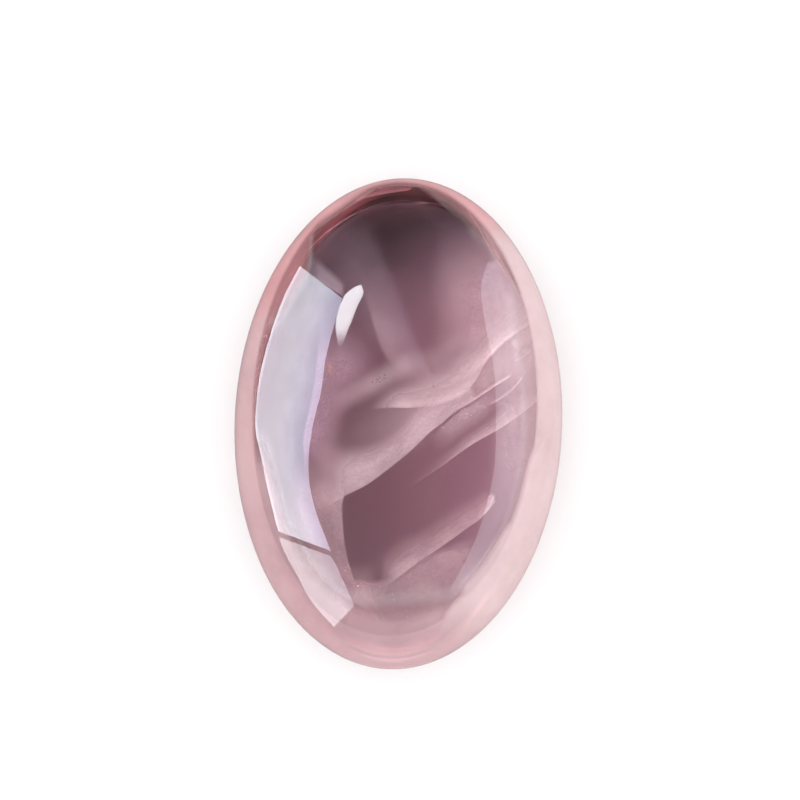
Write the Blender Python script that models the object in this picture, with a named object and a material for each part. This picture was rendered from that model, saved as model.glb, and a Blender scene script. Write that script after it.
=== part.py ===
"""Polished rose quartz palm stone: one oval pebble, crowned above and below, that lies on a small flat spot.

Metres, +Z up. The origin is the centre of the flat spot, +Y runs along the stone and +X across it.
"""

import math

import bmesh
import bpy
from mathutils import Vector

# Driving dimensions
LENGTH = 0.060
WIDTH = 0.040
HALF_THICKNESS = 0.0115  # from the widest section to the crown, and to the belly before it is flattened
FLAT_SPOT_CUT = 0.0003  # how far the belly is ground back to make the flat spot

# A cross-section follows |r|^p + |z|^p = 1. At 2 it is an ellipse, and above 2 its shoulders are fuller.
SHOULDER_POWER = 2.15

# The soft high and low places that hand polishing leaves: where each lies on the outline, from -1 to 1
# along X and Y, its side (+1 crown, -1 belly), its radius as a share of the outline, and its height.
POLISHING_WAVES = (
    (-0.62, 0.05, +1, 0.34, 0.00016),
    (-0.48, -0.55, +1, 0.30, -0.00012),
    (0.55, 0.30, +1, 0.38, -0.00010),
    (0.15, -0.60, +1, 0.36, 0.00012),
    (-0.10, 0.62, +1, 0.34, -0.00010),
    (0.50, -0.35, -1, 0.40, 0.00014),
    (-0.45, 0.40, -1, 0.38, -0.00012),
    (0.10, 0.70, -1, 0.32, 0.00010),
)

ICOSPHERE_LEVEL = 5  # 5,120 triangles before the flat spot is cut
SHARP_ANGLE = math.radians(30)

ROSE = (0.62, 0.32, 0.36, 1.0)
ROUGHNESS = 0.04
QUARTZ_IOR = 1.544


def clear_scene():
    for obj in list(bpy.data.objects):
        bpy.data.objects.remove(obj)


def polishing_wave(across, along, side):
    """How far the skin stands above the plain oval at a place on the outline, in metres."""
    rise = 0.0
    for x, y, wave_side, radius, height in POLISHING_WAVES:
        if wave_side * side > 0:
            distance = math.hypot(across - x, along - y)
            rise += height * math.exp(-((distance / radius) ** 2))
    return rise


def skin_point(direction):
    """The stone's skin in a direction of the unit sphere, with the widest section at z = 0."""
    out = math.hypot(direction.x, direction.y)
    reach = (out**SHOULDER_POWER + abs(direction.z) ** SHOULDER_POWER) ** (-1 / SHOULDER_POWER)
    across, along, up = direction * reach
    # A wave dies out towards the widest section, so the outline stays a true oval.
    rise = polishing_wave(across, along, up) * up
    return Vector((across * WIDTH / 2, along * LENGTH / 2, up * HALF_THICKNESS + rise))


def grind_flat_spot(stone):
    """Cuts the belly level at z = 0 and closes the cut with one face."""
    everything = stone.verts[:] + stone.edges[:] + stone.faces[:]
    cut = bmesh.ops.bisect_plane(
        stone, geom=everything, dist=1e-7, plane_co=(0, 0, 0), plane_no=(0, 0, 1), clear_inner=True
    )
    rim = [item for item in cut["geom_cut"] if isinstance(item, bmesh.types.BMEdge)]
    bmesh.ops.contextual_create(stone, geom=rim)


def stone_mesh():
    stone = bmesh.new()
    bmesh.ops.create_icosphere(stone, subdivisions=ICOSPHERE_LEVEL, radius=1)
    girdle_height = HALF_THICKNESS - FLAT_SPOT_CUT
    for vert in stone.verts:
        vert.co = skin_point(vert.co.normalized()) + Vector((0, 0, girdle_height))
    grind_flat_spot(stone)
    bmesh.ops.recalc_face_normals(stone, faces=stone.faces)
    mesh = bpy.data.meshes.new("palm_stone")
    stone.to_mesh(mesh)
    stone.free()
    mesh.shade_smooth()
    mesh.set_sharp_from_angle(angle=SHARP_ANGLE)
    return mesh


def rose_quartz():
    material = bpy.data.materials.new("rose_quartz")
    material.use_nodes = True
    surface = material.node_tree.nodes["Principled BSDF"]
    surface.inputs["Base Color"].default_value = ROSE
    surface.inputs["Roughness"].default_value = ROUGHNESS
    surface.inputs["Metallic"].default_value = 0.0
    surface.inputs["Transmission Weight"].default_value = 1.0
    surface.inputs["IOR"].default_value = QUARTZ_IOR
    return material


def main():
    clear_scene()
    collection = bpy.data.collections.new("palm_stone")
    bpy.context.scene.collection.children.link(collection)
    mesh = stone_mesh()
    mesh.materials.append(rose_quartz())
    collection.objects.link(bpy.data.objects.new("palm_stone", mesh))


main()
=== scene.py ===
"""Looks of the rose quartz palm stone: clear pink quartz with milky veils in it, on a pale floor.

Metres, in the frame of the CAD: the flat spot is at the origin, +Y runs along the stone and +Z is up.
"""

import math
import random

import bmesh
import bpy
from mathutils import Matrix, Vector

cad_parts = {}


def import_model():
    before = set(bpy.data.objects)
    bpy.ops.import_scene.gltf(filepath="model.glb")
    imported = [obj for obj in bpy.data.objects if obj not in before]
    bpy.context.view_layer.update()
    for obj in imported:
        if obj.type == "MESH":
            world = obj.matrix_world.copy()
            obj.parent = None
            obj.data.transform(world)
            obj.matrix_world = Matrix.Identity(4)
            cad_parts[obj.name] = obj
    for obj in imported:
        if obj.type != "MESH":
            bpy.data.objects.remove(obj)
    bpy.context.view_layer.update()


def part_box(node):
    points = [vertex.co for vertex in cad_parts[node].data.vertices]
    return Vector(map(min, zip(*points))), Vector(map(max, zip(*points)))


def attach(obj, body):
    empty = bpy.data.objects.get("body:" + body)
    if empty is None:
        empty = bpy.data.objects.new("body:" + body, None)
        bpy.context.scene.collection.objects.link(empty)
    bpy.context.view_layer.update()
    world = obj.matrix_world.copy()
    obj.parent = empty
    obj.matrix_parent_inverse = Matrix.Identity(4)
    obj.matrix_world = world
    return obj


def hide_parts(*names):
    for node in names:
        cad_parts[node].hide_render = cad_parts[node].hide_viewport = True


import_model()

LOW, HIGH = (Vector(corner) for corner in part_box("palm_stone"))
WIDTH = HIGH.x - LOW.x
LENGTH = HIGH.y - LOW.y

# The stone's form, as part.py has it
HALF_THICKNESS = 0.0115
FLAT_SPOT_CUT = 0.0003
GIRDLE_HEIGHT = HALF_THICKNESS - FLAT_SPOT_CUT
SHOULDER_POWER = 2.15
# Each wave: its middle as shares of the outline, its side (+1 the crown, -1 the belly), its radius as
# such a share, and its height in metres
POLISHING_WAVES = (
    (-0.62, 0.05, +1, 0.34, 0.00016),
    (-0.48, -0.55, +1, 0.30, -0.00012),
    (0.55, 0.30, +1, 0.38, -0.00010),
    (0.15, -0.60, +1, 0.36, 0.00012),
    (-0.10, 0.62, +1, 0.34, -0.00010),
    (0.50, -0.35, -1, 0.40, 0.00014),
    (-0.45, 0.40, -1, 0.38, -0.00012),
    (0.10, 0.70, -1, 0.32, 0.00010),
)
EDGE_SOFTNESS = 0.00008  # how softly the belly runs into the flat spot
JUST_INSIDE = 0.9999  # of the outline, where the crown still has a height
SLOPE_STEP = 0.00002  # over which the crown's slope is taken
SKIN_SUBDIVISIONS = 7

# The photograph's frame, in its pixels
PHOTO_SIZE = 800
STONE_CENTRE = (398.4, 423.8)
STONE_HALF_LENGTH = 245.6
STONE_TILT = math.radians(2.4)  # the top of the stone leans this far to the right
METRES_PER_PIXEL = LENGTH / 2 / STONE_HALF_LENGTH

CAMERA_DISTANCE = 0.6  # above the stone's widest section
SENSOR = 36.0  # mm
FRAME_WIDTH = PHOTO_SIZE * METRES_PER_PIXEL
CAMERA_REACH = 10  # it sees nothing farther than this
RAY_ROUNDS = 12  # of closing in on the place where a ray meets the crown

QUARTZ_IOR = 1.544
DEPTH_COLOUR = (0.96, 0.84, 0.85, 1)
DEPTH_DENSITY = 100
WHITE = (1, 1, 1, 1)
VEIL_COLOUR = (1.0, 0.91, 0.94, 1)
PINK_VEIL = (1.0, 0.88, 0.93, 1)
MAUVE_VEIL = (0.94, 0.80, 0.97, 1)
# Orange of grains among the bubbles, and of a painted glint: a small orange flare of light in the clear
# middle
WARM_GRAIN_AND_GLINT = (1.0, 0.62, 0.30, 1)
PINK_MILK = (0.45, 0.305, 0.325, 1)
ROSE_MILK = (0.53, 0.29, 0.30, 1)
LEFT_MILK = (0.50, 0.35, 0.36, 1)
RIGHT_MILK = (0.59, 0.465, 0.475, 1)

# Unevenness of the materials: its scale, per metre or per sheet, its detail, the span of the noise that
# counts, and the two values that it goes between.
VEIL_CLOUDS = ((180, 180, 180), 6.0, (0.3, 0.65), (0.7, 1.0))
VEIL_DUST = ((3600, 3600, 3600), 1.0, (0.35, 0.65), (0.93, 1.06))
BUBBLE_SHADES = ((900, 900, 900), 1.0, (0.35, 0.65), (0.0, 1.0))
MILK_CLOUDS = ((150, 150, 150), 5.0, (0.3, 0.65), (0.85, 1.0))
POLISH_ROUGHNESS = ((400, 400, 400), 4.0, (0.35, 0.65), (0.010, 0.022))
CARD_CLOTH = ((9, 5, 1), 3.0, (0.3, 0.7), (0.94, 1.06))
VEIL_FIBRES = (4.0, (0.3, 0.7), (0.88, 1.0))  # at the scale that a veil gives
NOISE_SHIFT = (1.0, 1.7, 2.3)  # by which one step of seed moves it
CLOUDS_SEED = 3  # beyond the veil's own
DUST_SEED = 5  # beyond the veil's own
MILK_SEED = 2.0
POLISH_SEED = 9.0
NOISE_ROUGHNESS = 0.6
VEIL_ROUGHNESS = 0.7
BUBBLE_ROUGHNESS = 0.3
BUBBLE_OPACITY = (0.45, 0.95)

# Directions in the stone's frame
RIGHT = (1, 0, 0)
LEFT = (-1, 0, 0)
FAR = (0, 1, 0)
UP = (0, 0, 1)

# The ring of milk along the rim lies outside an oval: its middle and its reach as shares of the outline's,
# and how softly it sets in. It gets milkier farther out, and at the far end: from where to where, and how
# milky there.
RING_MIDDLE = (-0.025, 0.068)
RING_REACH = (0.855, 0.91)
RING_EDGE = (0.98, 1.02)
RING_OUTER = (0.86, 0.97, 0.6, 0.72)
RING_FAR_END = (0.019, 0.026, 0.0, 0.85)

# Patches of milk on the crown beside the ring. Each has how milky it gets, then where it sets in: between
# which shares of the way out to the outline, if that matters, and between which distances along each of its
# directions, in metres.
MILK_PATCHES = {
    "top left": (0.8, None, ((-0.6, 0.8, 0), 0.0249, 0.0263)),
    "top right": (0.05, None, ((0.6, 0.8, 0), 0.0236, 0.0242)),
    "right shoulder": (0.08, (0.84, 0.90), (RIGHT, 0.0065, 0.0085), (FAR, 0.010, 0.014)),
    "left shoulder": (0.22, (0.79, 0.86), (LEFT, 0.0110, 0.0122), (FAR, 0.010, 0.014)),
    "low left": (0.48, (0.72, 0.82), ((-0.6, -0.8, 0), 0.010, 0.016)),
    "low right": (0.66, (0.76, 0.83), ((0.9, -0.44, 0), 0.0146, 0.0166)),
    "low shoulder": (0.55, (0.735, 0.80), ((0.75, -0.66, 0), 0.0168, 0.0186), (RIGHT, 0.0072, 0.0094)),
    "right flank": (0.2, (0.72, 0.80), (RIGHT, 0.0120, 0.0145)),
    "low end": (0.55, None, ((0.1, -1, 0), 0.019, 0.027)),
}
GIRDLE_FADE = 0.0015  # the milk is gone this far below the widest section
THIN_MILK = 0.2  # milk of a lesser share than this tints the clear quartz less

# Where the milk's colours change, along a direction and from one distance to another
RIGHT_SIDE = (RIGHT, -0.004, 0.012)
PINK_END = ((0.5, 1, 0), -0.014, -0.024)
ROSY_END = ((-0.4, 1, 0), 0.0165, 0.0225)

CARD_DISTANCE = 0.6  # from the stone to the studio cards that it mirrors

# Shares of the way across a card
CARD_COLOURS = (0.4, 1.0)  # its colour goes from the outer to the inner one
CARD_RISE = (0.0, 0.55)  # its strength goes from the first to the middle one
CARD_FALL = (0.6, 0.95)  # its strength goes from the middle to the last one
CARD_RIM = (0.03, 0.10)  # its bright rim ends
# A share of the way along a card, by which its fade starts beyond its end. So a fade of no length is none.
CARD_END = 0.001

FLOOR_SIZE = 6
FLOOR_GAP = 0.0002  # under the stone
FLOOR_COLOUR = (0.58, 0.58, 0.58, 1)
SKY = 1.0  # the studio's light, as the stone's clear rim shows it
DIFFUSE_SKY = 2.0  # the same light, as it falls on the floor and on the veils
SKY_MIRRORED = 0.08  # the share of it that the polish mirrors

# Painted reflection: the floor's colour where the polish mirrors it, to the left and to the right, and
# where the one gives way to the other
LEFT_MIRRORED = (0.15, 0.12, 0.123, 1)
RIGHT_MIRRORED = (0.33, 0.28, 0.285, 1)
MIRRORED_SIDES = ((1, -0.5, 0), -0.04, 0.03)

# The curtain low on the near side: its share of the sky's light, and where it ends to the left, away from
# the near side and above, as the X, Y and Z of a direction
CURTAIN_SHARE = 0.12
CURTAIN_LEFT = (-0.35, -0.1)
CURTAIN_NEAR = (-0.92, -0.75)
CURTAIN_TOP = (0.5, 0.65)

# Painted shadow: a soft dark patch on the floor under the stone. Between two places, in metres, it gets
# lighter to the right and dimmer towards its far end. Its edge is a share of the stone's outline.
PAINTED_SHADOW_TINT = (1.0, 0.78, 1.0)
PAINTED_SHADOW_SIDES = (-0.005, 0.013, 0.165, 0.38)
PAINTED_SHADOW_LENGTHWISE = (-0.35, 0.94, 0)
PAINTED_SHADOW_ENDS = (0.009, 0.0222, 1.0, 0.06)
PAINTED_SHADOW_EDGE = (0.88, 0.98)

# Painted shade: the floor nearer than this, and not far to the left, is painted dim where it shows through
# the far end of the stone
NEAR_FLOOR = (-0.0235, -0.0185)
NEAR_FLOOR_LEFT = (-0.042, -0.030)
NEAR_SHARE = 0.05
FLOOR_ROUGHNESS = 0.9
FLOOR_GLOSS = 0.1


# Form of the stone


def polishing_wave(across, along, side):
    """How far the skin stands above the plain oval at a place on the outline, in metres."""
    rise = 0.0
    for x, y, wave_side, radius, height in POLISHING_WAVES:
        if wave_side * side > 0:
            distance = math.hypot(across - x, along - y)
            rise += height * math.exp(-((distance / radius) ** 2))
    return rise


def skin_point(direction):
    """The stone's skin in a direction of the unit sphere, with the widest section at z = 0."""
    out = math.hypot(direction.x, direction.y)
    reach = (out**SHOULDER_POWER + abs(direction.z) ** SHOULDER_POWER) ** (-1 / SHOULDER_POWER)
    across, along, up = direction * reach
    rise = polishing_wave(across, along, up) * up
    return Vector((across * WIDTH / 2, along * LENGTH / 2, up * HALF_THICKNESS + rise))


def settled(height):
    """A height above the floor, with all that would lie below it pressed flat."""
    deepest = math.hypot(FLAT_SPOT_CUT, EDGE_SOFTNESS) - FLAT_SPOT_CUT
    return (height + math.hypot(height, EDGE_SOFTNESS) - deepest) / 2


def crown_height(x, y):
    """How high the crown stands over a place on the floor."""
    across, along = x / (WIDTH / 2), y / (LENGTH / 2)
    out = min(math.hypot(across, along), JUST_INSIDE)
    up = (1 - out**SHOULDER_POWER) ** (1 / SHOULDER_POWER)
    return GIRDLE_HEIGHT + up * HALF_THICKNESS + polishing_wave(across, along, +1) * up


def crown_normal(x, y):
    """The crown's outward direction over a place on the floor."""
    slope_x = (crown_height(x + SLOPE_STEP, y) - crown_height(x - SLOPE_STEP, y)) / (2 * SLOPE_STEP)
    slope_y = (crown_height(x, y + SLOPE_STEP) - crown_height(x, y - SLOPE_STEP)) / (2 * SLOPE_STEP)
    return Vector((-slope_x, -slope_y, 1)).normalized()


# Places of the photograph, followed into the stone and off its polish


def camera_place():
    """Straight above the point of the stone that lies in the middle of the photograph."""
    right = (PHOTO_SIZE / 2 - STONE_CENTRE[0]) * METRES_PER_PIXEL
    up = (STONE_CENTRE[1] - PHOTO_SIZE / 2) * METRES_PER_PIXEL
    return turned(right, up, GIRDLE_HEIGHT + CAMERA_DISTANCE)


def turned(right, up, z):
    """A shift in the photograph's right and up, as one in the stone's frame."""
    cosine, sine = math.cos(STONE_TILT), math.sin(STONE_TILT)
    return Vector((right * cosine - up * sine, right * sine + up * cosine, z))


def view_ray(pixel):
    """The direction in which the camera looks through a pixel."""
    right = (pixel[0] - PHOTO_SIZE / 2) * METRES_PER_PIXEL
    up = (PHOTO_SIZE / 2 - pixel[1]) * METRES_PER_PIXEL
    return turned(right, up, -CAMERA_DISTANCE).normalized()


def crown_hit(pixel):
    """Where the camera's ray through a pixel meets the crown, the ray's direction, and the normal."""
    start, ray = camera_place(), view_ray(pixel)
    height = GIRDLE_HEIGHT
    for _ in range(RAY_ROUNDS):
        place = start + ray * ((height - start.z) / ray.z)
        height = crown_height(place.x, place.y)
    return place, ray, crown_normal(place.x, place.y)


def inside(point):
    """The place in the stone that shows at a pixel through the crown. point is the pixel and a depth, from
    0 at the crown to 1 at the belly."""
    place, ray, normal = crown_hit(point[:2])
    ratio = 1 / QUARTZ_IOR
    cosine = -ray.dot(normal)
    bent = ray * ratio + normal * (ratio * cosine - math.sqrt(1 - ratio**2 * (1 - cosine**2)))
    thickness = 2 * (place.z - GIRDLE_HEIGHT)
    return place - bent * (point[2] * thickness / bent.z)


def mirrored(pixel):
    """The place on a round of cards about the stone that the crown mirrors to a pixel."""
    place, ray, normal = crown_hit(pixel)
    return place + ray.reflect(normal) * CARD_DISTANCE


# Mesh helpers


def link(obj):
    """Puts an object into the scene."""
    bpy.context.scene.collection.objects.link(obj)
    return obj


def curve_point(points, share):
    """A smooth curve through the points, at a share of the way from the first to the last."""
    points = [Vector(point) for point in points]
    place = share * (len(points) - 1)
    index = min(int(place), len(points) - 2)
    t = place - index
    a, b = points[max(index - 1, 0)], points[index]
    c, d = points[index + 1], points[min(index + 2, len(points) - 1)]
    return (
        b * 2 + (c - a) * t + (a * 2 - b * 5 + c * 4 - d) * t**2 + (b * 3 - a - c * 3 + d) * t**3
    ) / 2


def loft(name, lines, place, along, across):
    """A sheet through the lines. place turns a line's point into one in the stone's frame, and the UV map
    says how far along the lines and across them each corner is."""
    sheet = bmesh.new()
    uv = sheet.loops.layers.uv.new("Sheet")
    rows = []
    for i in range(along + 1):
        posts = [curve_point(line, i / along) for line in lines]
        row = [sheet.verts.new(place(curve_point(posts, j / across))) for j in range(across + 1)]
        rows.append(row)
    for i in range(along):
        for j in range(across):
            face = sheet.faces.new((rows[i][j], rows[i + 1][j], rows[i + 1][j + 1], rows[i][j + 1]))
            face.smooth = True
            for loop, (u, v) in zip(face.loops, ((i, j), (i + 1, j), (i + 1, j + 1), (i, j + 1))):
                loop[uv].uv = (u / along, v / across)
    mesh = bpy.data.meshes.new(name)
    sheet.to_mesh(mesh)
    sheet.free()
    return link(bpy.data.objects.new(name, mesh))


# Materials


def smooth_step(tree, value, start, end, low, high):
    """A node that eases from low to high while value goes from start to end."""
    node = tree.nodes.new("ShaderNodeMapRange")
    node.interpolation_type = "SMOOTHSTEP"
    node.inputs["From Min"].default_value = start
    node.inputs["From Max"].default_value = end
    node.inputs["To Min"].default_value = low
    node.inputs["To Max"].default_value = high
    tree.links.new(value, node.inputs["Value"])
    return node.outputs["Result"]


def outline_share(tree, place, middle=(0, 0), reach=(1, 1)):
    """How far out a place lies, from 0 in the middle of an oval to 1 on it. The oval is the stone's
    outline, or one with its middle and reach given as shares of the outline's."""
    oval = tree.nodes.new("ShaderNodeMapping")
    oval.inputs["Scale"].default_value = (2 / WIDTH / reach[0], 2 / LENGTH / reach[1], 0)
    oval.inputs["Location"].default_value = (-middle[0] / reach[0], -middle[1] / reach[1], 0)
    distance = tree.nodes.new("ShaderNodeVectorMath")
    distance.operation = "LENGTH"
    tree.links.new(place, oval.inputs["Vector"])
    tree.links.new(oval.outputs[0], distance.inputs[0])
    return distance.outputs["Value"]


def lean(tree, place, direction):
    """How far a place lies along a direction, in metres."""
    dot = tree.nodes.new("ShaderNodeVectorMath")
    dot.operation = "DOT_PRODUCT"
    dot.inputs[1].default_value = direction
    tree.links.new(place, dot.inputs[0])
    return dot.outputs["Value"]


def combined(tree, operation, values):
    """One output out of several, by an operation on the first two, on that and the third, and so on."""
    result = values[0]
    for value in values[1:]:
        node = tree.nodes.new("ShaderNodeMath")
        node.operation = operation
        tree.links.new(result, node.inputs[0])
        tree.links.new(value, node.inputs[1])
        result = node.outputs[0]
    return result


def times(tree, *values):
    """The product of several outputs."""
    return combined(tree, "MULTIPLY", values)


def largest(tree, *values):
    """The largest of several outputs."""
    return combined(tree, "MAXIMUM", values)


def line(tree, value, low, high):
    """low where value is 0 and high where it is 1."""
    ramp = smooth_step(tree, value, 0.0, 1.0, low, high)
    ramp.node.interpolation_type = "LINEAR"
    return ramp


def mix(tree, share, first, second):
    """A colour between first and second, each of them a colour or an output."""
    node = tree.nodes.new("ShaderNodeMix")
    node.data_type = "RGBA"
    tree.links.new(share, node.inputs["Factor"])
    for name, colour in (("A", first), ("B", second)):
        if isinstance(colour, tuple):
            node.inputs[name].default_value = colour
        else:
            tree.links.new(colour, node.inputs[name])
    return node.outputs["Result"]


def scaled(tree, colour, factor):
    """A colour times a factor."""
    node = tree.nodes.new("ShaderNodeVectorMath")
    node.operation = "SCALE"
    tree.links.new(colour, node.inputs[0])
    tree.links.new(factor, node.inputs["Scale"])
    return node.outputs[0]


def unevenness(tree, source, scale, detail, span, values, seed=0.0):
    """Noise on stretched coordinates. Over its span it goes from the first of the values to the second."""
    stretch = tree.nodes.new("ShaderNodeMapping")
    stretch.inputs["Scale"].default_value = scale
    stretch.inputs["Location"].default_value = [seed * shift for shift in NOISE_SHIFT]
    texture = tree.nodes.new("ShaderNodeTexNoise")
    texture.inputs["Scale"].default_value = 1.0
    texture.inputs["Detail"].default_value = detail
    texture.inputs["Roughness"].default_value = NOISE_ROUGHNESS
    tree.links.new(source, stretch.inputs["Vector"])
    tree.links.new(stretch.outputs[0], texture.inputs["Vector"])
    return smooth_step(tree, texture.outputs["Fac"], *span, *values)


def ray_kinds(tree):
    """Whether light is seen through the stone, and whether it is seen mirrored in the stone."""
    path = tree.nodes.new("ShaderNodeLightPath")
    through = path.outputs["Is Transmission Ray"]
    return through, times(tree, path.outputs["Is Glossy Ray"], line(tree, through, 1.0, 0.0))


def new_material(name):
    """A material, its node tree and its surface node."""
    material = bpy.data.materials.new(name)
    material.use_nodes = True
    return material, material.node_tree, material.node_tree.nodes["Principled BSDF"]


def place_on_sheet(tree):
    """How far along a loft's lines a place lies, and how far across them."""
    parts = tree.nodes.new("ShaderNodeSeparateXYZ")
    tree.links.new(tree.nodes.new("ShaderNodeTexCoord").outputs["UV"], parts.inputs[0])
    return parts.outputs["X"], parts.outputs["Y"]


def veil_material(name, colour, density, sharp, soft, ends, streaks, seed):
    """A milky film. density is its most opacity. It sets in over the share sharp beside its first line, and
    fades over the share soft towards its last, and over the shares ends at its two ends."""
    material, tree, surface = new_material(name)
    surface.inputs["Base Color"].default_value = colour
    surface.inputs["Roughness"].default_value = VEIL_ROUGHNESS
    surface.inputs["Specular IOR Level"].default_value = 0.0
    place = tree.nodes.new("ShaderNodeTexCoord")
    along, across = place_on_sheet(tree)
    opacity = times(
        tree,
        smooth_step(tree, along, 0.0, ends[0], 0.0, 1.0),
        smooth_step(tree, along, 1.0 - ends[1], 1.0, 1.0, 0.0),
        smooth_step(tree, across, 0.0, sharp, 0.0, 1.0),
        smooth_step(tree, across, 1.0 - soft, 1.0, density, 0.0),
        unevenness(tree, place.outputs["UV"], streaks, *VEIL_FIBRES, seed),
        unevenness(tree, place.outputs["Object"], *VEIL_CLOUDS, seed + CLOUDS_SEED),
        unevenness(tree, place.outputs["Object"], *VEIL_DUST, seed + DUST_SEED),
    )
    tree.links.new(opacity, surface.inputs["Alpha"])
    return material


def bubble_material():
    """Tiny bubbles and grains, some clearer than others."""
    material, tree, surface = new_material("bubbles")
    place = tree.nodes.new("ShaderNodeTexCoord").outputs["Object"]
    shade = unevenness(tree, place, *BUBBLE_SHADES)
    tree.links.new(mix(tree, shade, WARM_GRAIN_AND_GLINT, WHITE), surface.inputs["Base Color"])
    tree.links.new(line(tree, shade, *BUBBLE_OPACITY), surface.inputs["Alpha"])
    surface.inputs["Roughness"].default_value = BUBBLE_ROUGHNESS
    return material


def side_step(tree, place, direction, start, end):
    """Eases from 0 to 1 between two distances along a direction."""
    return smooth_step(tree, lean(tree, place, direction), start, end, 0.0, 1.0)


def milk_patch(tree, place, out, share, rim, *sides):
    """How milky a place is by one patch of MILK_PATCHES."""
    steps = [side_step(tree, place, *side) for side in sides]
    if rim:
        steps.append(smooth_step(tree, out, *rim, 0.0, 1.0))
    steps[0].node.inputs["To Max"].default_value = share
    return times(tree, *steps)


def milk(tree, place):
    """How milky the crown's skin is, and the colour that its milk gives it. It clouds a ring along the rim
    and the patches beside it. It is pinker towards both ends, and palest on the right."""
    out = outline_share(tree, place)
    inner_oval = outline_share(tree, place, RING_MIDDLE, RING_REACH)
    ring = times(
        tree,
        smooth_step(tree, inner_oval, *RING_EDGE, 0.0, 1.0),
        largest(
            tree,
            smooth_step(tree, out, *RING_OUTER),
            smooth_step(tree, lean(tree, place, FAR), *RING_FAR_END),
        ),
    )
    patches = [milk_patch(tree, place, out, *patch) for patch in MILK_PATCHES.values()]
    share = times(
        tree,
        largest(tree, ring, *patches),
        unevenness(tree, place, *MILK_CLOUDS, MILK_SEED),
        side_step(tree, place, UP, GIRDLE_HEIGHT - GIRDLE_FADE, GIRDLE_HEIGHT),
    )
    colour = mix(tree, side_step(tree, place, *RIGHT_SIDE), LEFT_MILK, RIGHT_MILK)
    colour = mix(tree, side_step(tree, place, *PINK_END), colour, PINK_MILK)
    colour = mix(tree, side_step(tree, place, *ROSY_END), colour, ROSE_MILK)
    return share, mix(tree, smooth_step(tree, share, 0.0, THIN_MILK, 0.0, 1.0), WHITE, colour)


def rose_quartz():
    """Clear quartz that is pinker where it is deeper, with a milky skin in places."""
    material, tree, surface = new_material("rose_quartz_polished")
    surface.inputs["IOR"].default_value = QUARTZ_IOR
    place = tree.nodes.new("ShaderNodeTexCoord").outputs["Object"]
    tree.links.new(unevenness(tree, place, *POLISH_ROUGHNESS, POLISH_SEED), surface.inputs["Roughness"])
    haze, colour = milk(tree, place)
    tree.links.new(colour, surface.inputs["Base Color"])
    tree.links.new(line(tree, haze, 1.0, 0.0), surface.inputs["Transmission Weight"])
    depth = tree.nodes.new("ShaderNodeVolumeAbsorption")
    depth.inputs["Color"].default_value = DEPTH_COLOUR
    depth.inputs["Density"].default_value = DEPTH_DENSITY
    tree.links.new(depth.outputs[0], tree.nodes["Material Output"].inputs["Volume"])
    return material


def floor_material():
    """A pale floor with a painted shadow under the stone, which lets the clear quartz look deep."""
    material, tree, surface = new_material("pale_floor")
    place = tree.nodes.new("ShaderNodeTexCoord").outputs["Object"]
    # Painted shadow under the stone: a dark patch, lighter to the right and dimmer at its far end
    painted_shadow = times(
        tree,
        smooth_step(tree, lean(tree, place, RIGHT), *PAINTED_SHADOW_SIDES),
        smooth_step(tree, lean(tree, place, PAINTED_SHADOW_LENGTHWISE), *PAINTED_SHADOW_ENDS),
    )
    tint = tree.nodes.new("ShaderNodeCombineXYZ")
    for axis, value in zip("XYZ", PAINTED_SHADOW_TINT):
        tint.inputs[axis].default_value = value
    edge = smooth_step(tree, outline_share(tree, place), *PAINTED_SHADOW_EDGE, 0.0, 1.0)
    shade = mix(tree, edge, scaled(tree, tint.outputs[0], painted_shadow), FLOOR_COLOUR)
    through, mirrored_ray = ray_kinds(tree)
    # Painted shade: the floor is painted dim where it shows through the far end of the stone
    near = times(
        tree,
        smooth_step(tree, lean(tree, place, FAR), *NEAR_FLOOR, 1.0, 0.0),
        side_step(tree, place, RIGHT, *NEAR_FLOOR_LEFT),
        through,
    )
    seen = scaled(tree, shade, line(tree, near, 1.0, NEAR_SHARE))
    # Painted reflection: the floor's colour in the polish is painted dim and pink, darker to the left than
    # to the right
    mirrored_floor = mix(tree, side_step(tree, place, *MIRRORED_SIDES), LEFT_MIRRORED, RIGHT_MIRRORED)
    tree.links.new(mix(tree, mirrored_ray, seen, mirrored_floor), surface.inputs["Base Color"])
    surface.inputs["Roughness"].default_value = FLOOR_ROUGHNESS
    surface.inputs["Specular IOR Level"].default_value = FLOOR_GLOSS
    return material


def card_material(name, outer, inner, strengths, rim, ends):
    """A lit card, a little uneven. It goes from the colour outer to the colour inner across it, and through
    the three strengths. It has an edge brighter by the factor rim, and fades over the shares ends at its
    ends."""
    material, tree, surface = new_material(name)
    tree.nodes.remove(surface)
    along, across = place_on_sheet(tree)
    glow = tree.nodes.new("ShaderNodeEmission")
    colour = mix(tree, smooth_step(tree, across, *CARD_COLOURS, 0.0, 1.0), (*outer, 1), (*inner, 1))
    tree.links.new(colour, glow.inputs["Color"])
    strength = times(
        tree,
        smooth_step(tree, across, *CARD_RISE, *strengths[:2]),
        smooth_step(tree, across, *CARD_RIM, rim, 1.0),
        smooth_step(tree, across, *CARD_FALL, 1.0, strengths[2] / strengths[1]),
        unevenness(tree, tree.nodes.new("ShaderNodeTexCoord").outputs["UV"], *CARD_CLOTH),
        smooth_step(tree, along, -CARD_END, ends[0], 0.0, 1.0),
        smooth_step(tree, along, 1.0 - ends[1], 1.0 + CARD_END, 1.0, 0.0),
    )
    tree.links.new(strength, glow.inputs["Strength"])
    tree.links.new(glow.outputs[0], tree.nodes["Material Output"].inputs["Surface"])
    return material


# Pieces


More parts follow.
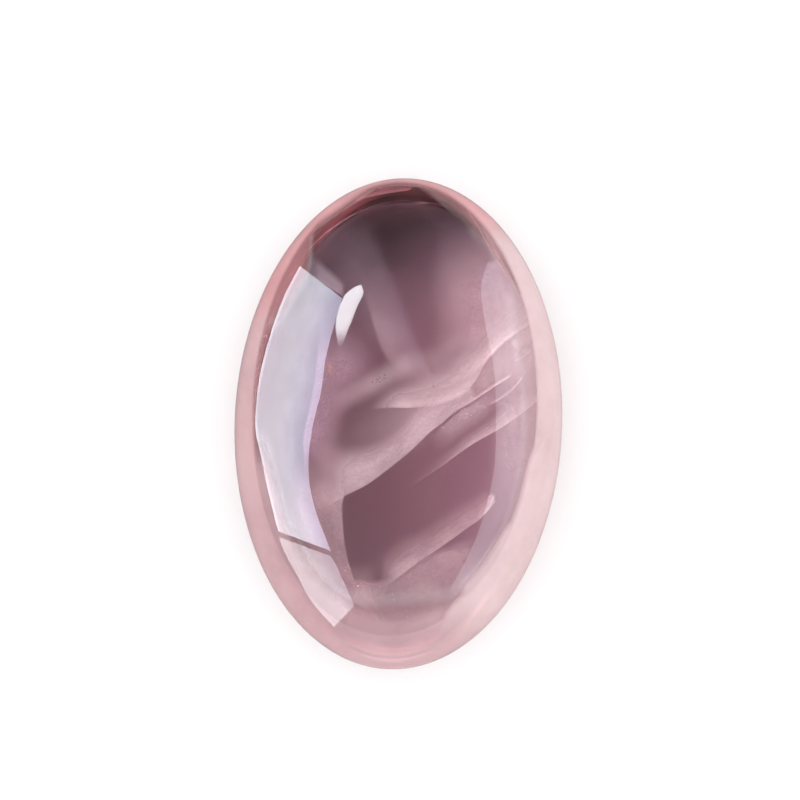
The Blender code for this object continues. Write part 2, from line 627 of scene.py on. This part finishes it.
def polished_stone():
    """The stone, with a finer skin than the solid's."""
    stone = bmesh.new()
    bmesh.ops.create_icosphere(stone, subdivisions=SKIN_SUBDIVISIONS, radius=1)
    for vert in stone.verts:
        point = skin_point(vert.co.normalized())
        vert.co = (point.x, point.y, settled(point.z + GIRDLE_HEIGHT))
    mesh = bpy.data.meshes.new("polished_stone")
    stone.to_mesh(mesh)
    stone.free()
    mesh.shade_smooth()
    mesh.materials.append(rose_quartz())
    piece = link(bpy.data.objects.new("polished_stone", mesh))
    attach(piece, "root")
    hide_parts("palm_stone")


# How a veil's fibres run: how many of them there are along it and across it
ALONG = (2, 9, 1)
CURVED = (2, 12, 1)
ACROSS = (22, 2, 1)
CLOUDY = (5, 5, 1)

VEIL_FACES = (60, 16)  # along a veil and across it
SHEETS_CROSSED = 24  # at most, by one ray
SEED_STEP = 10  # pixels to the right for one step of the veils' seeds
THREAD_DEPTH = 0.05  # of the stone's, between a thread's two sides


def veil(
    name, first, last, density, sharp=0.06, soft=0.8, ends=(0.1, 0.1), streaks=ALONG, colour=VEIL_COLOUR
):
    """A milky film between the healed faces of a crack, from its first line to its last. A line's point is
    a pixel of the photograph, and a depth from 0 at the crown to 1 at the belly."""
    sheet = loft(name, (first, last), inside, *VEIL_FACES)
    seed = first[0][0] / SEED_STEP
    sheet.data.materials.append(veil_material(name, colour, density, sharp, soft, ends, streaks, seed))
    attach(sheet, "root")


def cloud(name, first, last, density, sharp, soft, ends, colour=VEIL_COLOUR):
    """A veil with soft clouds in place of fibres."""
    veil(name, first, last, density, sharp, soft, ends, CLOUDY, colour)


def thread(name, edge, shift, density, ends=(0.15, 0.15)):
    """A bright narrow veil along an edge, as wide as the shift to its other side."""
    other_side = [(x + shift[0], y + shift[1], depth + THREAD_DEPTH) for x, y, depth in edge]
    veil(name, edge, other_side, density, sharp=0.25, soft=0.75, ends=ends)


# Lines of the main crack, each point a pixel and a depth
MAIN_HALO_FIRST = (
    (530, 280, 0.42),
    (500, 292, 0.38),
    (462, 320, 0.34),
    (424, 345, 0.30),
    (385, 385, 0.28),
    (310, 425, 0.28),
)
MAIN_HALO_LAST = (
    (553, 372, 0.50),
    (524, 396, 0.45),
    (484, 414, 0.38),
    (440, 440, 0.31),
    (400, 470, 0.27),
    (330, 520, 0.24),
)
MAIN_RIDGE_FIRST = (
    (543, 309, 0.50),
    (528, 321, 0.46),
    (510, 336, 0.42),
    (496, 352, 0.40),
    (485, 365, 0.38),
    (476, 381, 0.38),
    (462, 396, 0.38),
    (440, 404, 0.38),
    (413, 408, 0.38),
    (388, 408, 0.38),
    (368, 410, 0.38),
)
MAIN_RIDGE_LAST = (
    (528, 292, 0.36),
    (514, 300, 0.32),
    (498, 310, 0.28),
    (482, 325, 0.26),
    (468, 340, 0.25),
    (456, 354, 0.25),
    (444, 366, 0.25),
    (430, 374, 0.25),
    (412, 381, 0.25),
    (394, 381, 0.27),
    (378, 385, 0.27),
)
RIDGE_CREST_EDGE = (
    (544, 317, 0.44),
    (521, 332, 0.40),
    (502, 346, 0.37),
    (489, 359, 0.36),
    (476, 371, 0.35),
    (458, 384, 0.34),
    (438, 393, 0.34),
)
MAIN_BODY_FIRST = (
    (477, 399, 0.20),
    (466, 406, 0.20),
    (455, 412, 0.20),
    (443, 423, 0.20),
    (430, 433, 0.20),
    (410, 452, 0.20),
    (384, 473, 0.21),
    (366, 486, 0.22),
    (348, 495, 0.24),
    (330, 506, 0.26),
    (311, 516, 0.28),
)
MAIN_BODY_LAST = (
    (472, 376, 0.32),
    (460, 380, 0.32),
    (446, 386, 0.32),
    (430, 392, 0.32),
    (414, 402, 0.33),
    (402, 420, 0.34),
    (386, 435, 0.35),
    (368, 442, 0.36),
    (348, 442, 0.36),
    (328, 436, 0.36),
    (304, 430, 0.36),
)
BODY_TAIL_FIRST = ((366, 490, 0.4), (348, 498, 0.4), (328, 508, 0.4), (306, 518, 0.4))
BODY_TAIL_LAST = ((376, 444, 0.5), (352, 444, 0.5), (328, 440, 0.5), (304, 436, 0.5))
CREST_GLOW_FIRST = ((452, 396, 0.5), (484, 350, 0.5), (518, 316, 0.5), (537, 304, 0.5))
CREST_GLOW_LAST = ((464, 408, 0.6), (500, 389, 0.6), (530, 370, 0.6), (548, 356, 0.6))
UPPER_THREAD_EDGE = (
    (514, 375, 0.22),
    (495, 387, 0.24),
    (477, 399, 0.26),
    (457, 411, 0.28),
    (440, 425, 0.29),
)
LOWER_THREAD_EDGE = ((533, 364, 0.25), (518, 385, 0.28), (505, 397, 0.30), (488, 407, 0.32))
SPARKLE_BAND_FIRST = (
    (500, 385, 0.24),
    (478, 400, 0.25),
    (457, 413, 0.26),
    (443, 425, 0.27),
    (428, 440, 0.28),
)
SPARKLE_BAND_LAST = (
    (508, 400, 0.27),
    (488, 420, 0.28),
    (468, 434, 0.29),
    (452, 447, 0.30),
    (436, 458, 0.31),
)
RIGHT_FAN_FIRST = ((508, 342, 0.35), (520, 332, 0.38), (534, 322, 0.40))
RIGHT_FAN_LAST = ((516, 360, 0.45), (528, 350, 0.46), (541, 338, 0.48))
RIGHT_ARC_EDGE = ((510, 364, 0.3), (518, 361, 0.3), (526, 356, 0.3), (536, 349, 0.32))


def main_crack():
    """The widest crack, which crosses the stone from its right rim down to the left."""
    cloud("main_halo", MAIN_HALO_FIRST, MAIN_HALO_LAST, density=0.28, sharp=0.5, soft=0.5, ends=(0.1, 0.3))
    veil(
        "main_ridge",
        MAIN_RIDGE_FIRST,
        MAIN_RIDGE_LAST,
        density=0.78,
        sharp=0.05,
        soft=0.9,
        ends=(0.03, 0.2),
    )
    thread("ridge_crest", RIDGE_CREST_EDGE, shift=(-6, -12), density=0.9, ends=(0.08, 0.5))
    veil(
        "main_body",
        MAIN_BODY_FIRST,
        MAIN_BODY_LAST,
        density=0.53,
        sharp=0.05,
        soft=0.6,
        ends=(0.05, 0.3),
        colour=PINK_VEIL,
    )
    cloud(
        "body_tail",
        BODY_TAIL_FIRST,
        BODY_TAIL_LAST,
        density=0.26,
        sharp=0.4,
        soft=0.5,
        ends=(0.5, 0.35),
        colour=PINK_VEIL,
    )
    cloud(
        "crest_glow",
        CREST_GLOW_FIRST,
        CREST_GLOW_LAST,
        density=0.5,
        sharp=0.5,
        soft=0.3,
        ends=(0.3, 0.1),
        colour=WHITE,
    )
    thread("upper_thread", UPPER_THREAD_EDGE, shift=(-2, -4), density=0.85, ends=(0.1, 0.5))
    thread("lower_thread", LOWER_THREAD_EDGE, shift=(-2, -4), density=0.55, ends=(0.3, 0.2))
    veil(
        "sparkle_band",
        SPARKLE_BAND_FIRST,
        SPARKLE_BAND_LAST,
        density=0.38,
        sharp=0.1,
        soft=0.7,
        ends=(0.3, 0.4),
        streaks=ACROSS,
        colour=PINK_VEIL,
    )
    veil(
        "right_fan",
        RIGHT_FAN_FIRST,
        RIGHT_FAN_LAST,
        density=0.75,
        sharp=0.3,
        soft=0.6,
        ends=(0.2, 0.2),
        streaks=ACROSS,
    )
    thread("right_arc", RIGHT_ARC_EDGE, shift=(1, -6), density=0.8, ends=(0.3, 0.3))


# Lines of the second crack, each point a pixel and a depth
SECOND_CRACK_FIRST = (
    (554, 388, 0.50),
    (537, 402, 0.40),
    (519, 416, 0.34),
    (500, 429, 0.30),
    (475, 443, 0.27),
    (456, 456, 0.25),
    (431, 474, 0.23),
    (398, 495, 0.22),
)
SECOND_CRACK_LAST = (
    (550, 368, 0.58),
    (530, 384, 0.50),
    (510, 400, 0.42),
    (488, 415, 0.38),
    (466, 432, 0.34),
    (449, 446, 0.31),
    (425, 466, 0.29),
    (394, 489, 0.27),
)
SECOND_ARC_EDGE = ((496, 405, 0.3), (507, 407, 0.3), (518, 416, 0.32), (526, 426, 0.34))


def second_crack():
    """A finer crack, below the first."""
    veil(
        "second_crack",
        SECOND_CRACK_FIRST,
        SECOND_CRACK_LAST,
        density=0.66,
        sharp=0.06,
        soft=0.94,
        ends=(0.03, 0.7),
    )
    thread("second_edge", SECOND_CRACK_FIRST, shift=(-1, -4), density=0.45, ends=(0.05, 0.7))
    thread("second_arc", SECOND_ARC_EDGE, shift=(1, -5), density=0.3, ends=(0.3, 0.5))


# Lines of the third crack, each point a pixel and a depth
THIRD_CRACK_FIRST = (
    (497, 500, 0.40),
    (482, 518, 0.34),
    (467, 529, 0.31),
    (452, 540, 0.29),
    (436, 551, 0.28),
    (421, 561, 0.28),
    (405, 573, 0.28),
    (384, 588, 0.30),
)
THIRD_CRACK_LAST = (
    (484, 487, 0.56),
    (466, 497, 0.56),
    (448, 507, 0.56),
    (432, 518, 0.56),
    (417, 529, 0.56),
    (402, 534, 0.56),
    (387, 545, 0.56),
    (368, 568, 0.56),
)
THIRD_KNOT_EDGE = ((497, 494, 0.34), (491, 508, 0.34), (481, 519, 0.34), (466, 530, 0.32))
CURVED_LINES_FIRST = ((474, 546, 0.4), (456, 548, 0.38), (440, 552, 0.38))
CURVED_LINES_LAST = ((462, 572, 0.5), (446, 568, 0.5), (428, 566, 0.5))


def third_crack():
    """The lowest crack, with a bright knot at its right end."""
    veil(
        "third_crack",
        THIRD_CRACK_FIRST,
        THIRD_CRACK_LAST,
        density=0.52,
        sharp=0.05,
        soft=0.92,
        ends=(0.03, 0.12),
    )
    thread("third_knot", THIRD_KNOT_EDGE, shift=(-7, -4), density=0.6, ends=(0.15, 0.6))
    veil(
        "curved_lines",
        CURVED_LINES_FIRST,
        CURVED_LINES_LAST,
        density=0.36,
        sharp=0.3,
        soft=0.6,
        ends=(0.2, 0.3),
        streaks=CURVED,
    )


# Lines of the column and of the wisp, each point a pixel and a depth
COLUMN_FIRST = (
    (370, 218, 0.20),
    (382, 245, 0.20),
    (395, 276, 0.20),
    (406, 303, 0.20),
    (418, 335, 0.21),
    (428, 358, 0.22),
    (440, 386, 0.28),
)
COLUMN_LAST = (
    (318, 250, 0.50),
    (320, 270, 0.50),
    (330, 296, 0.50),
    (350, 322, 0.50),
    (370, 346, 0.46),
    (386, 366, 0.42),
    (404, 400, 0.38),
)
COLUMN_BAR_FIRST = ((361, 286, 0.34), (369, 314, 0.36), (380, 348, 0.38), (394, 372, 0.38))
COLUMN_BAR_LAST = ((392, 282, 0.26), (402, 314, 0.28), (416, 346, 0.30), (432, 378, 0.32))
WISP_FIRST = (
    (442, 336, 0.12),
    (419, 345, 0.14),
    (402, 351, 0.16),
    (386, 359, 0.18),
    (366, 371, 0.22),
    (343, 385, 0.25),
    (322, 397, 0.28),
)
WISP_LAST = (
    (444, 360, 0.20),
    (427, 370, 0.22),
    (411, 380, 0.24),
    (394, 389, 0.26),
    (374, 400, 0.30),
    (352, 412, 0.33),
    (332, 424, 0.36),
)


def column():
    """A steep veil that comes down from the top of the stone, and the wisp that crosses it."""
    cloud(
        "column",
        COLUMN_FIRST,
        COLUMN_LAST,
        density=0.14,
        sharp=0.25,
        soft=0.6,
        ends=(0.4, 0.1),
        colour=MAUVE_VEIL,
    )
    cloud(
        "column_bar",
        COLUMN_BAR_FIRST,
        COLUMN_BAR_LAST,
        density=0.18,
        sharp=0.15,
        soft=0.8,
        ends=(0.5, 0.3),
    )
    cloud(
        "wisp",
        WISP_FIRST,
        WISP_LAST,
        density=0.27,
        sharp=0.5,
        soft=0.5,
        ends=(0.45, 0.3),
        colour=PINK_VEIL,
    )


# Lines of the hazes, each point a pixel and a depth
SIDE_HAZE_FIRST = (
    (350, 484, 0.30),
    (344, 502, 0.34),
    (344, 522, 0.36),
    (347, 550, 0.40),
    (355, 578, 0.46),
    (366, 594, 0.5),
)
SIDE_HAZE_LAST = (
    (290, 450, 0.60),
    (284, 493, 0.62),
    (288, 523, 0.64),
    (294, 548, 0.66),
    (304, 576, 0.68),
    (326, 606, 0.7),
)
FLANK_HAZE_FIRST = (
    (322, 312, 0.5),
    (316, 350, 0.5),
    (313, 380, 0.5),
    (308, 410, 0.5),
    (302, 440, 0.5),
    (304, 480, 0.5),
)
FLANK_HAZE_LAST = (
    (368, 322, 0.6),
    (380, 350, 0.6),
    (378, 380, 0.6),
    (352, 410, 0.6),
    (346, 440, 0.6),
    (346, 480, 0.6),
)
UPPER_LEFT_HAZE_FIRST = ((296, 256, 0.40), (310, 262, 0.40), (328, 270, 0.40), (352, 282, 0.40))
UPPER_LEFT_HAZE_LAST = ((328, 220, 0.48), (346, 214, 0.48), (372, 218, 0.48), (394, 250, 0.48))
UPPER_GLOW_FIRST = ((440, 216, 0.5), (430, 248, 0.5), (426, 290, 0.5), (430, 330, 0.5), (428, 362, 0.5))
UPPER_GLOW_LAST = ((480, 214, 0.6), (500, 246, 0.6), (512, 284, 0.6), (514, 312, 0.6), (500, 345, 0.6))
LOW_CLOUD_FIRST = (
    (344, 575, 0.5),
    (370, 579, 0.45),
    (396, 573, 0.42),
    (422, 554, 0.42),
    (448, 544, 0.42),
    (484, 530, 0.45),
)
LOW_CLOUD_LAST = (
    (344, 622, 0.6),
    (378, 642, 0.6),
    (412, 646, 0.6),
    (444, 638, 0.6),
    (482, 610, 0.6),
    (512, 570, 0.6),
)
LOW_LEFT_CLOUD_FIRST = ((382, 560, 0.45), (376, 590, 0.46), (386, 614, 0.48), (404, 640, 0.50))
LOW_LEFT_CLOUD_LAST = ((326, 564, 0.55), (330, 598, 0.56), (342, 622, 0.58), (366, 652, 0.60))
RIGHT_HAZE_FIRST = (
    (488, 262, 0.5),
    (490, 310, 0.5),
    (492, 360, 0.5),
    (490, 420, 0.5),
    (480, 480, 0.5),
    (456, 560, 0.5),
)
RIGHT_HAZE_LAST = (
    (524, 280, 0.6),
    (543, 330, 0.6),
    (552, 390, 0.6),
    (548, 450, 0.6),
    (534, 520, 0.6),
    (500, 590, 0.6),
)


def hazes():
    """Wide soft clouds."""
    cloud(
        "side_haze",
        SIDE_HAZE_FIRST,
        SIDE_HAZE_LAST,
        density=0.42,
        sharp=0.08,
        soft=0.45,
        ends=(0.2, 0.25),
        colour=PINK_VEIL,
    )
    cloud(
        "flank_haze",
        FLANK_HAZE_FIRST,
        FLANK_HAZE_LAST,
        density=0.36,
        sharp=0.1,
        soft=0.65,
        ends=(0.35, 0.2),
        colour=MAUVE_VEIL,
    )
    cloud(
        "upper_left_haze",
        UPPER_LEFT_HAZE_FIRST,
        UPPER_LEFT_HAZE_LAST,
        density=0.06,
        sharp=0.3,
        soft=0.5,
        ends=(0.45, 0.3),
        colour=MAUVE_VEIL,
    )
    cloud(
        "upper_glow",
        UPPER_GLOW_FIRST,
        UPPER_GLOW_LAST,
        density=0.37,
        sharp=0.6,
        soft=0.15,
        ends=(0.55, 0.15),
        colour=PINK_VEIL,
    )
    cloud(
        "low_cloud",
        LOW_CLOUD_FIRST,
        LOW_CLOUD_LAST,
        density=0.42,
        sharp=0.18,
        soft=0.4,
        ends=(0.15, 0.25),
        colour=PINK_VEIL,
    )
    cloud(
        "low_left_cloud",
        LOW_LEFT_CLOUD_FIRST,
        LOW_LEFT_CLOUD_LAST,
        density=0.5,
        sharp=0.35,
        soft=0.25,
        ends=(0.4, 0.15),
        colour=PINK_VEIL,
    )
    cloud(
        "right_haze",
        RIGHT_HAZE_FIRST,
        RIGHT_HAZE_LAST,
        density=0.44,
        sharp=0.45,
        soft=0.2,
        ends=(0.15, 0.5),
    )


# Lines of the small flaws and of the painted glint, each point a pixel and a depth
RIM_THREAD_EDGE = (
    (462, 205, 0.1),
    (474, 221, 0.1),
    (484, 239, 0.1),
    (493, 255, 0.1),
    (513, 286, 0.1),
    (526, 313, 0.12),
)
RIM_FLAW_EDGE = ((254, 335, 0.25), (260, 336, 0.22), (268, 335, 0.2))
WARM_GLINT_FIRST = ((326, 361, 0.2), (327, 368, 0.2), (326, 376, 0.2))
WARM_GLINT_LAST = ((332, 362, 0.25), (334, 368, 0.25), (332, 375, 0.25))


def small_flaws_and_glint():
    """Fine threads near the rim, and a painted glint in the clear middle: a small orange flare of light,
    drawn as a film.
    """
    thread("rim_thread", RIM_THREAD_EDGE, shift=(1.5, -1), density=0.5)
    thread("rim_flaw", RIM_FLAW_EDGE, shift=(0, 2), density=0.6)
    # Painted glint: a small orange flare of light, drawn as an orange film
    veil(
        "warm_glint",
        WARM_GLINT_FIRST,
        WARM_GLINT_LAST,
        density=0.5,
        sharp=0.5,
        soft=0.5,
        ends=(0.5, 0.5),
        colour=WARM_GRAIN_AND_GLINT,
    )


# Each swarm of bubbles: its middle as a pixel and a depth, its spread in pixels, and how many.
BUBBLE_SWARMS = (
    ((480, 404, 0.22), 11, 44),
    ((460, 413, 0.22), 10, 34),
    ((443, 426, 0.24), 10, 16),
    ((483, 223, 0.10), 4, 5),
    ((484, 238, 0.10), 3, 3),
    ((516, 346, 0.30), 8, 6),
    ((259, 335, 0.22), 5, 4),
    ((350, 570, 0.35), 6, 6),
    ((359, 585, 0.35), 5, 4),
    ((466, 558, 0.35), 10, 8),
    ((492, 502, 0.30), 6, 6),
    ((400, 600, 0.40), 34, 16),
)
BUBBLE_RADII = (0.00002, 0.00008)
BUBBLE_WIDTHS = (0.5, 1.0)  # of their lengths
BUBBLE_HEIGHT = 0.7
BUBBLE_DEPTHS = (-0.04, 0.04)  # about their swarm's depth
BUBBLE_SEED = 5


def bubbles():
    """Tiny bubbles and grains along the cracks, as one mesh."""
    chance = random.Random(BUBBLE_SEED)
    swarm_mesh = bmesh.new()
    for (x, y, depth), spread, count in BUBBLE_SWARMS:
        for _ in range(count):
            pixel = (chance.gauss(x, spread / 2), chance.gauss(y, spread / 2))
            place = inside((*pixel, depth + chance.uniform(*BUBBLE_DEPTHS)))
            radius = chance.uniform(*BUBBLE_RADII)
            width = radius * chance.uniform(*BUBBLE_WIDTHS)
            shape = Matrix.Diagonal((radius, width, radius * BUBBLE_HEIGHT, 1))
            turn = Matrix.Rotation(chance.uniform(0, math.pi), 4, "Z")
            matrix = Matrix.Translation(place) @ turn @ shape
            bmesh.ops.create_icosphere(swarm_mesh, subdivisions=1, radius=1, matrix=matrix)
    mesh = bpy.data.meshes.new("bubbles")
    swarm_mesh.to_mesh(mesh)
    swarm_mesh.free()
    mesh.shade_smooth()
    mesh.materials.append(bubble_material())
    piece = link(bpy.data.objects.new("bubbles", mesh))
    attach(piece, "root")


# Studio


COOL_WHITE = (0.90, 0.92, 0.96)
LILAC = (0.74, 0.79, 0.88)
BLUE = (0.62, 0.68, 0.90)
PINK = (0.88, 0.72, 0.84)
CARD_FACES = (36, 12)  # along a card and across it

# Outlines of the cards, by the pixels of the highlights that they make
LEFT_CARD_OUTER = (
    (300, 266),
    (287, 290),
    (276, 317),
    (267, 346),
    (260, 374),
    (255, 404),
    (255.5, 430),
    (261, 456),
    (268, 490),
    (278, 531),
)
LEFT_CARD_INNER = (
    (342, 298),
    (337, 316),
    (330, 340),
    (325, 362),
    (321, 392),
    (314, 420),
    (309, 452),
    (309, 480),
    (316, 512),
    (331, 551),
)
LOW_CARD_OUTER = ((279, 537), (285, 553), (296, 573), (312, 602), (334, 627))
LOW_CARD_INNER = ((330, 556), (335, 563), (341, 576), (349, 593), (354, 606))
RIGHT_CARD_OUTER = (
    (497, 258),
    (518, 284),
    (534, 330),
    (538, 380),
    (534, 430),
    (524, 486),
    (498, 545),
    (462, 598),
)
RIGHT_CARD_INNER = (
    (489, 259),
    (481, 288),
    (486, 328),
    (494, 370),
    (496, 430),
    (492, 482),
    (474, 543),
    (446, 596),
)
SPOT_OUTER = ((339, 349), (336.5, 335), (336, 322), (339, 308), (345, 295), (353, 288), (360, 285))
SPOT_INNER = ((341, 348), (346.5, 334), (352, 320), (356.5, 308), (361, 299), (363.5, 291), (361, 285))
SMEAR_OUTER = ((304, 248), (318, 258), (331, 269), (347, 285))
SMEAR_INNER = ((305, 269), (317, 279), (329, 287), (344, 297))


def only_mirrored(sheet):
    """Lets a card show in reflections and light nothing."""
    sheet.visible_camera = False
    sheet.visible_diffuse = False
    sheet.visible_transmission = False
    sheet.visible_volume_scatter = False
    sheet.visible_shadow = False


def card(name, outer, inner, colours, strengths, rim=1.0, ends=(0.0, 0.0)):
    """A lit card that the crown mirrors between two lines of the photograph's pixels."""
    sheet = loft(name, (outer, inner), mirrored, *CARD_FACES)
    sheet.data.materials.append(card_material(name, *colours, strengths, rim, ends))
    only_mirrored(sheet)


def cards():
    """The highlights: the tall one on the left and its lower part, the one on the right, the bright spot
    and the smear beside it."""
    card("left_card", LEFT_CARD_OUTER, LEFT_CARD_INNER, (LILAC, BLUE), (9.8, 13.4, 10.2), rim=1.5)
    card("low_card", LOW_CARD_OUTER, LOW_CARD_INNER, (COOL_WHITE, LILAC), (6.6, 7.2, 6.2), rim=1.1)
    card(
        "right_card",
        RIGHT_CARD_OUTER,
        RIGHT_CARD_INNER,
        (LILAC, LILAC),
        (0.6, 3.6, 3.2),
        ends=(0.05, 0.05),
    )
    card(
        "spot_card",
        SPOT_OUTER,
        SPOT_INNER,
        (COOL_WHITE, COOL_WHITE),
        (17.0, 17.0, 14.0),
        ends=(0.3, 0.0),
    )
    card("smear_card", SMEAR_OUTER, SMEAR_INNER, (PINK, PINK), (0.6, 4.8, 5.6), ends=(0.5, 0.15))


LAMP_SIZE = 2.0
LAMP_POWER = 6.0  # W
LAMP_HEIGHT = 1.2


def overhead_light():
    """A wide soft lamp, which shows neither in the polish nor through the stone."""
    light = bpy.data.lights.new("overhead", "AREA")
    light.shape = "SQUARE"
    light.size = LAMP_SIZE
    light.energy = LAMP_POWER
    lamp = link(bpy.data.objects.new("overhead", light))
    lamp.location = (0, 0, LAMP_HEIGHT)
    lamp.visible_camera = False
    lamp.visible_glossy = False
    lamp.visible_transmission = False


def world():
    """A white studio, of which the polish mirrors little. A dark curtain stands low on the near side."""
    surroundings = bpy.data.worlds.new("studio")
    bpy.context.scene.world = surroundings
    surroundings.use_nodes = True
    surroundings.cycles.sampling_method = "NONE"
    tree = surroundings.node_tree
    back = tree.nodes["Background"]
    back.inputs["Color"].default_value = WHITE
    parts = tree.nodes.new("ShaderNodeSeparateXYZ")
    tree.links.new(tree.nodes.new("ShaderNodeTexCoord").outputs["Generated"], parts.inputs[0])
    through, mirrored_ray = ray_kinds(tree)
    scattered = tree.nodes.new("ShaderNodeLightPath").outputs["Diffuse Depth"]
    curtain = times(
        tree,
        smooth_step(tree, parts.outputs["Y"], *CURTAIN_NEAR, 1.0, 0.0),
        smooth_step(tree, parts.outputs["X"], *CURTAIN_LEFT, 0.0, 1.0),
        smooth_step(tree, parts.outputs["Z"], *CURTAIN_TOP, 1.0, 0.0),
        smooth_step(tree, scattered, 0.0, 1.0, 1.0, 0.0),
        through,
    )
    strength = times(
        tree,
        smooth_step(tree, scattered, 0.0, 1.0, SKY, DIFFUSE_SKY),
        line(tree, curtain, 1.0, CURTAIN_SHARE),
        line(tree, mirrored_ray, 1.0, SKY_MIRRORED),
    )
    tree.links.new(strength, back.inputs["Strength"])


def floor():
    """The pale floor with its painted shadow."""
    bpy.ops.mesh.primitive_plane_add(size=FLOOR_SIZE, location=(0, 0, -FLOOR_GAP))
    ground = bpy.context.object
    ground.name = "floor"
    ground.data.materials.append(floor_material())


def camera():
    """A long lens straight above, turned as the stone lies in the photograph."""
    lens = bpy.data.cameras.new("camera")
    lens.sensor_width = SENSOR
    lens.lens = SENSOR * CAMERA_DISTANCE / FRAME_WIDTH
    lens.clip_end = CAMERA_REACH
    view = link(bpy.data.objects.new("camera", lens))
    view.location = camera_place()
    view.rotation_euler = (0, 0, STONE_TILT)
    bpy.context.scene.camera = view


bpy.context.scene.view_settings.view_transform = "Standard"
bpy.context.scene.cycles.transparent_max_bounces = SHEETS_CROSSED
camera()
floor()
world()
cards()
overhead_light()
polished_stone()
main_crack()
second_crack()
third_crack()
column()
hazes()
small_flaws_and_glint()
bubbles()
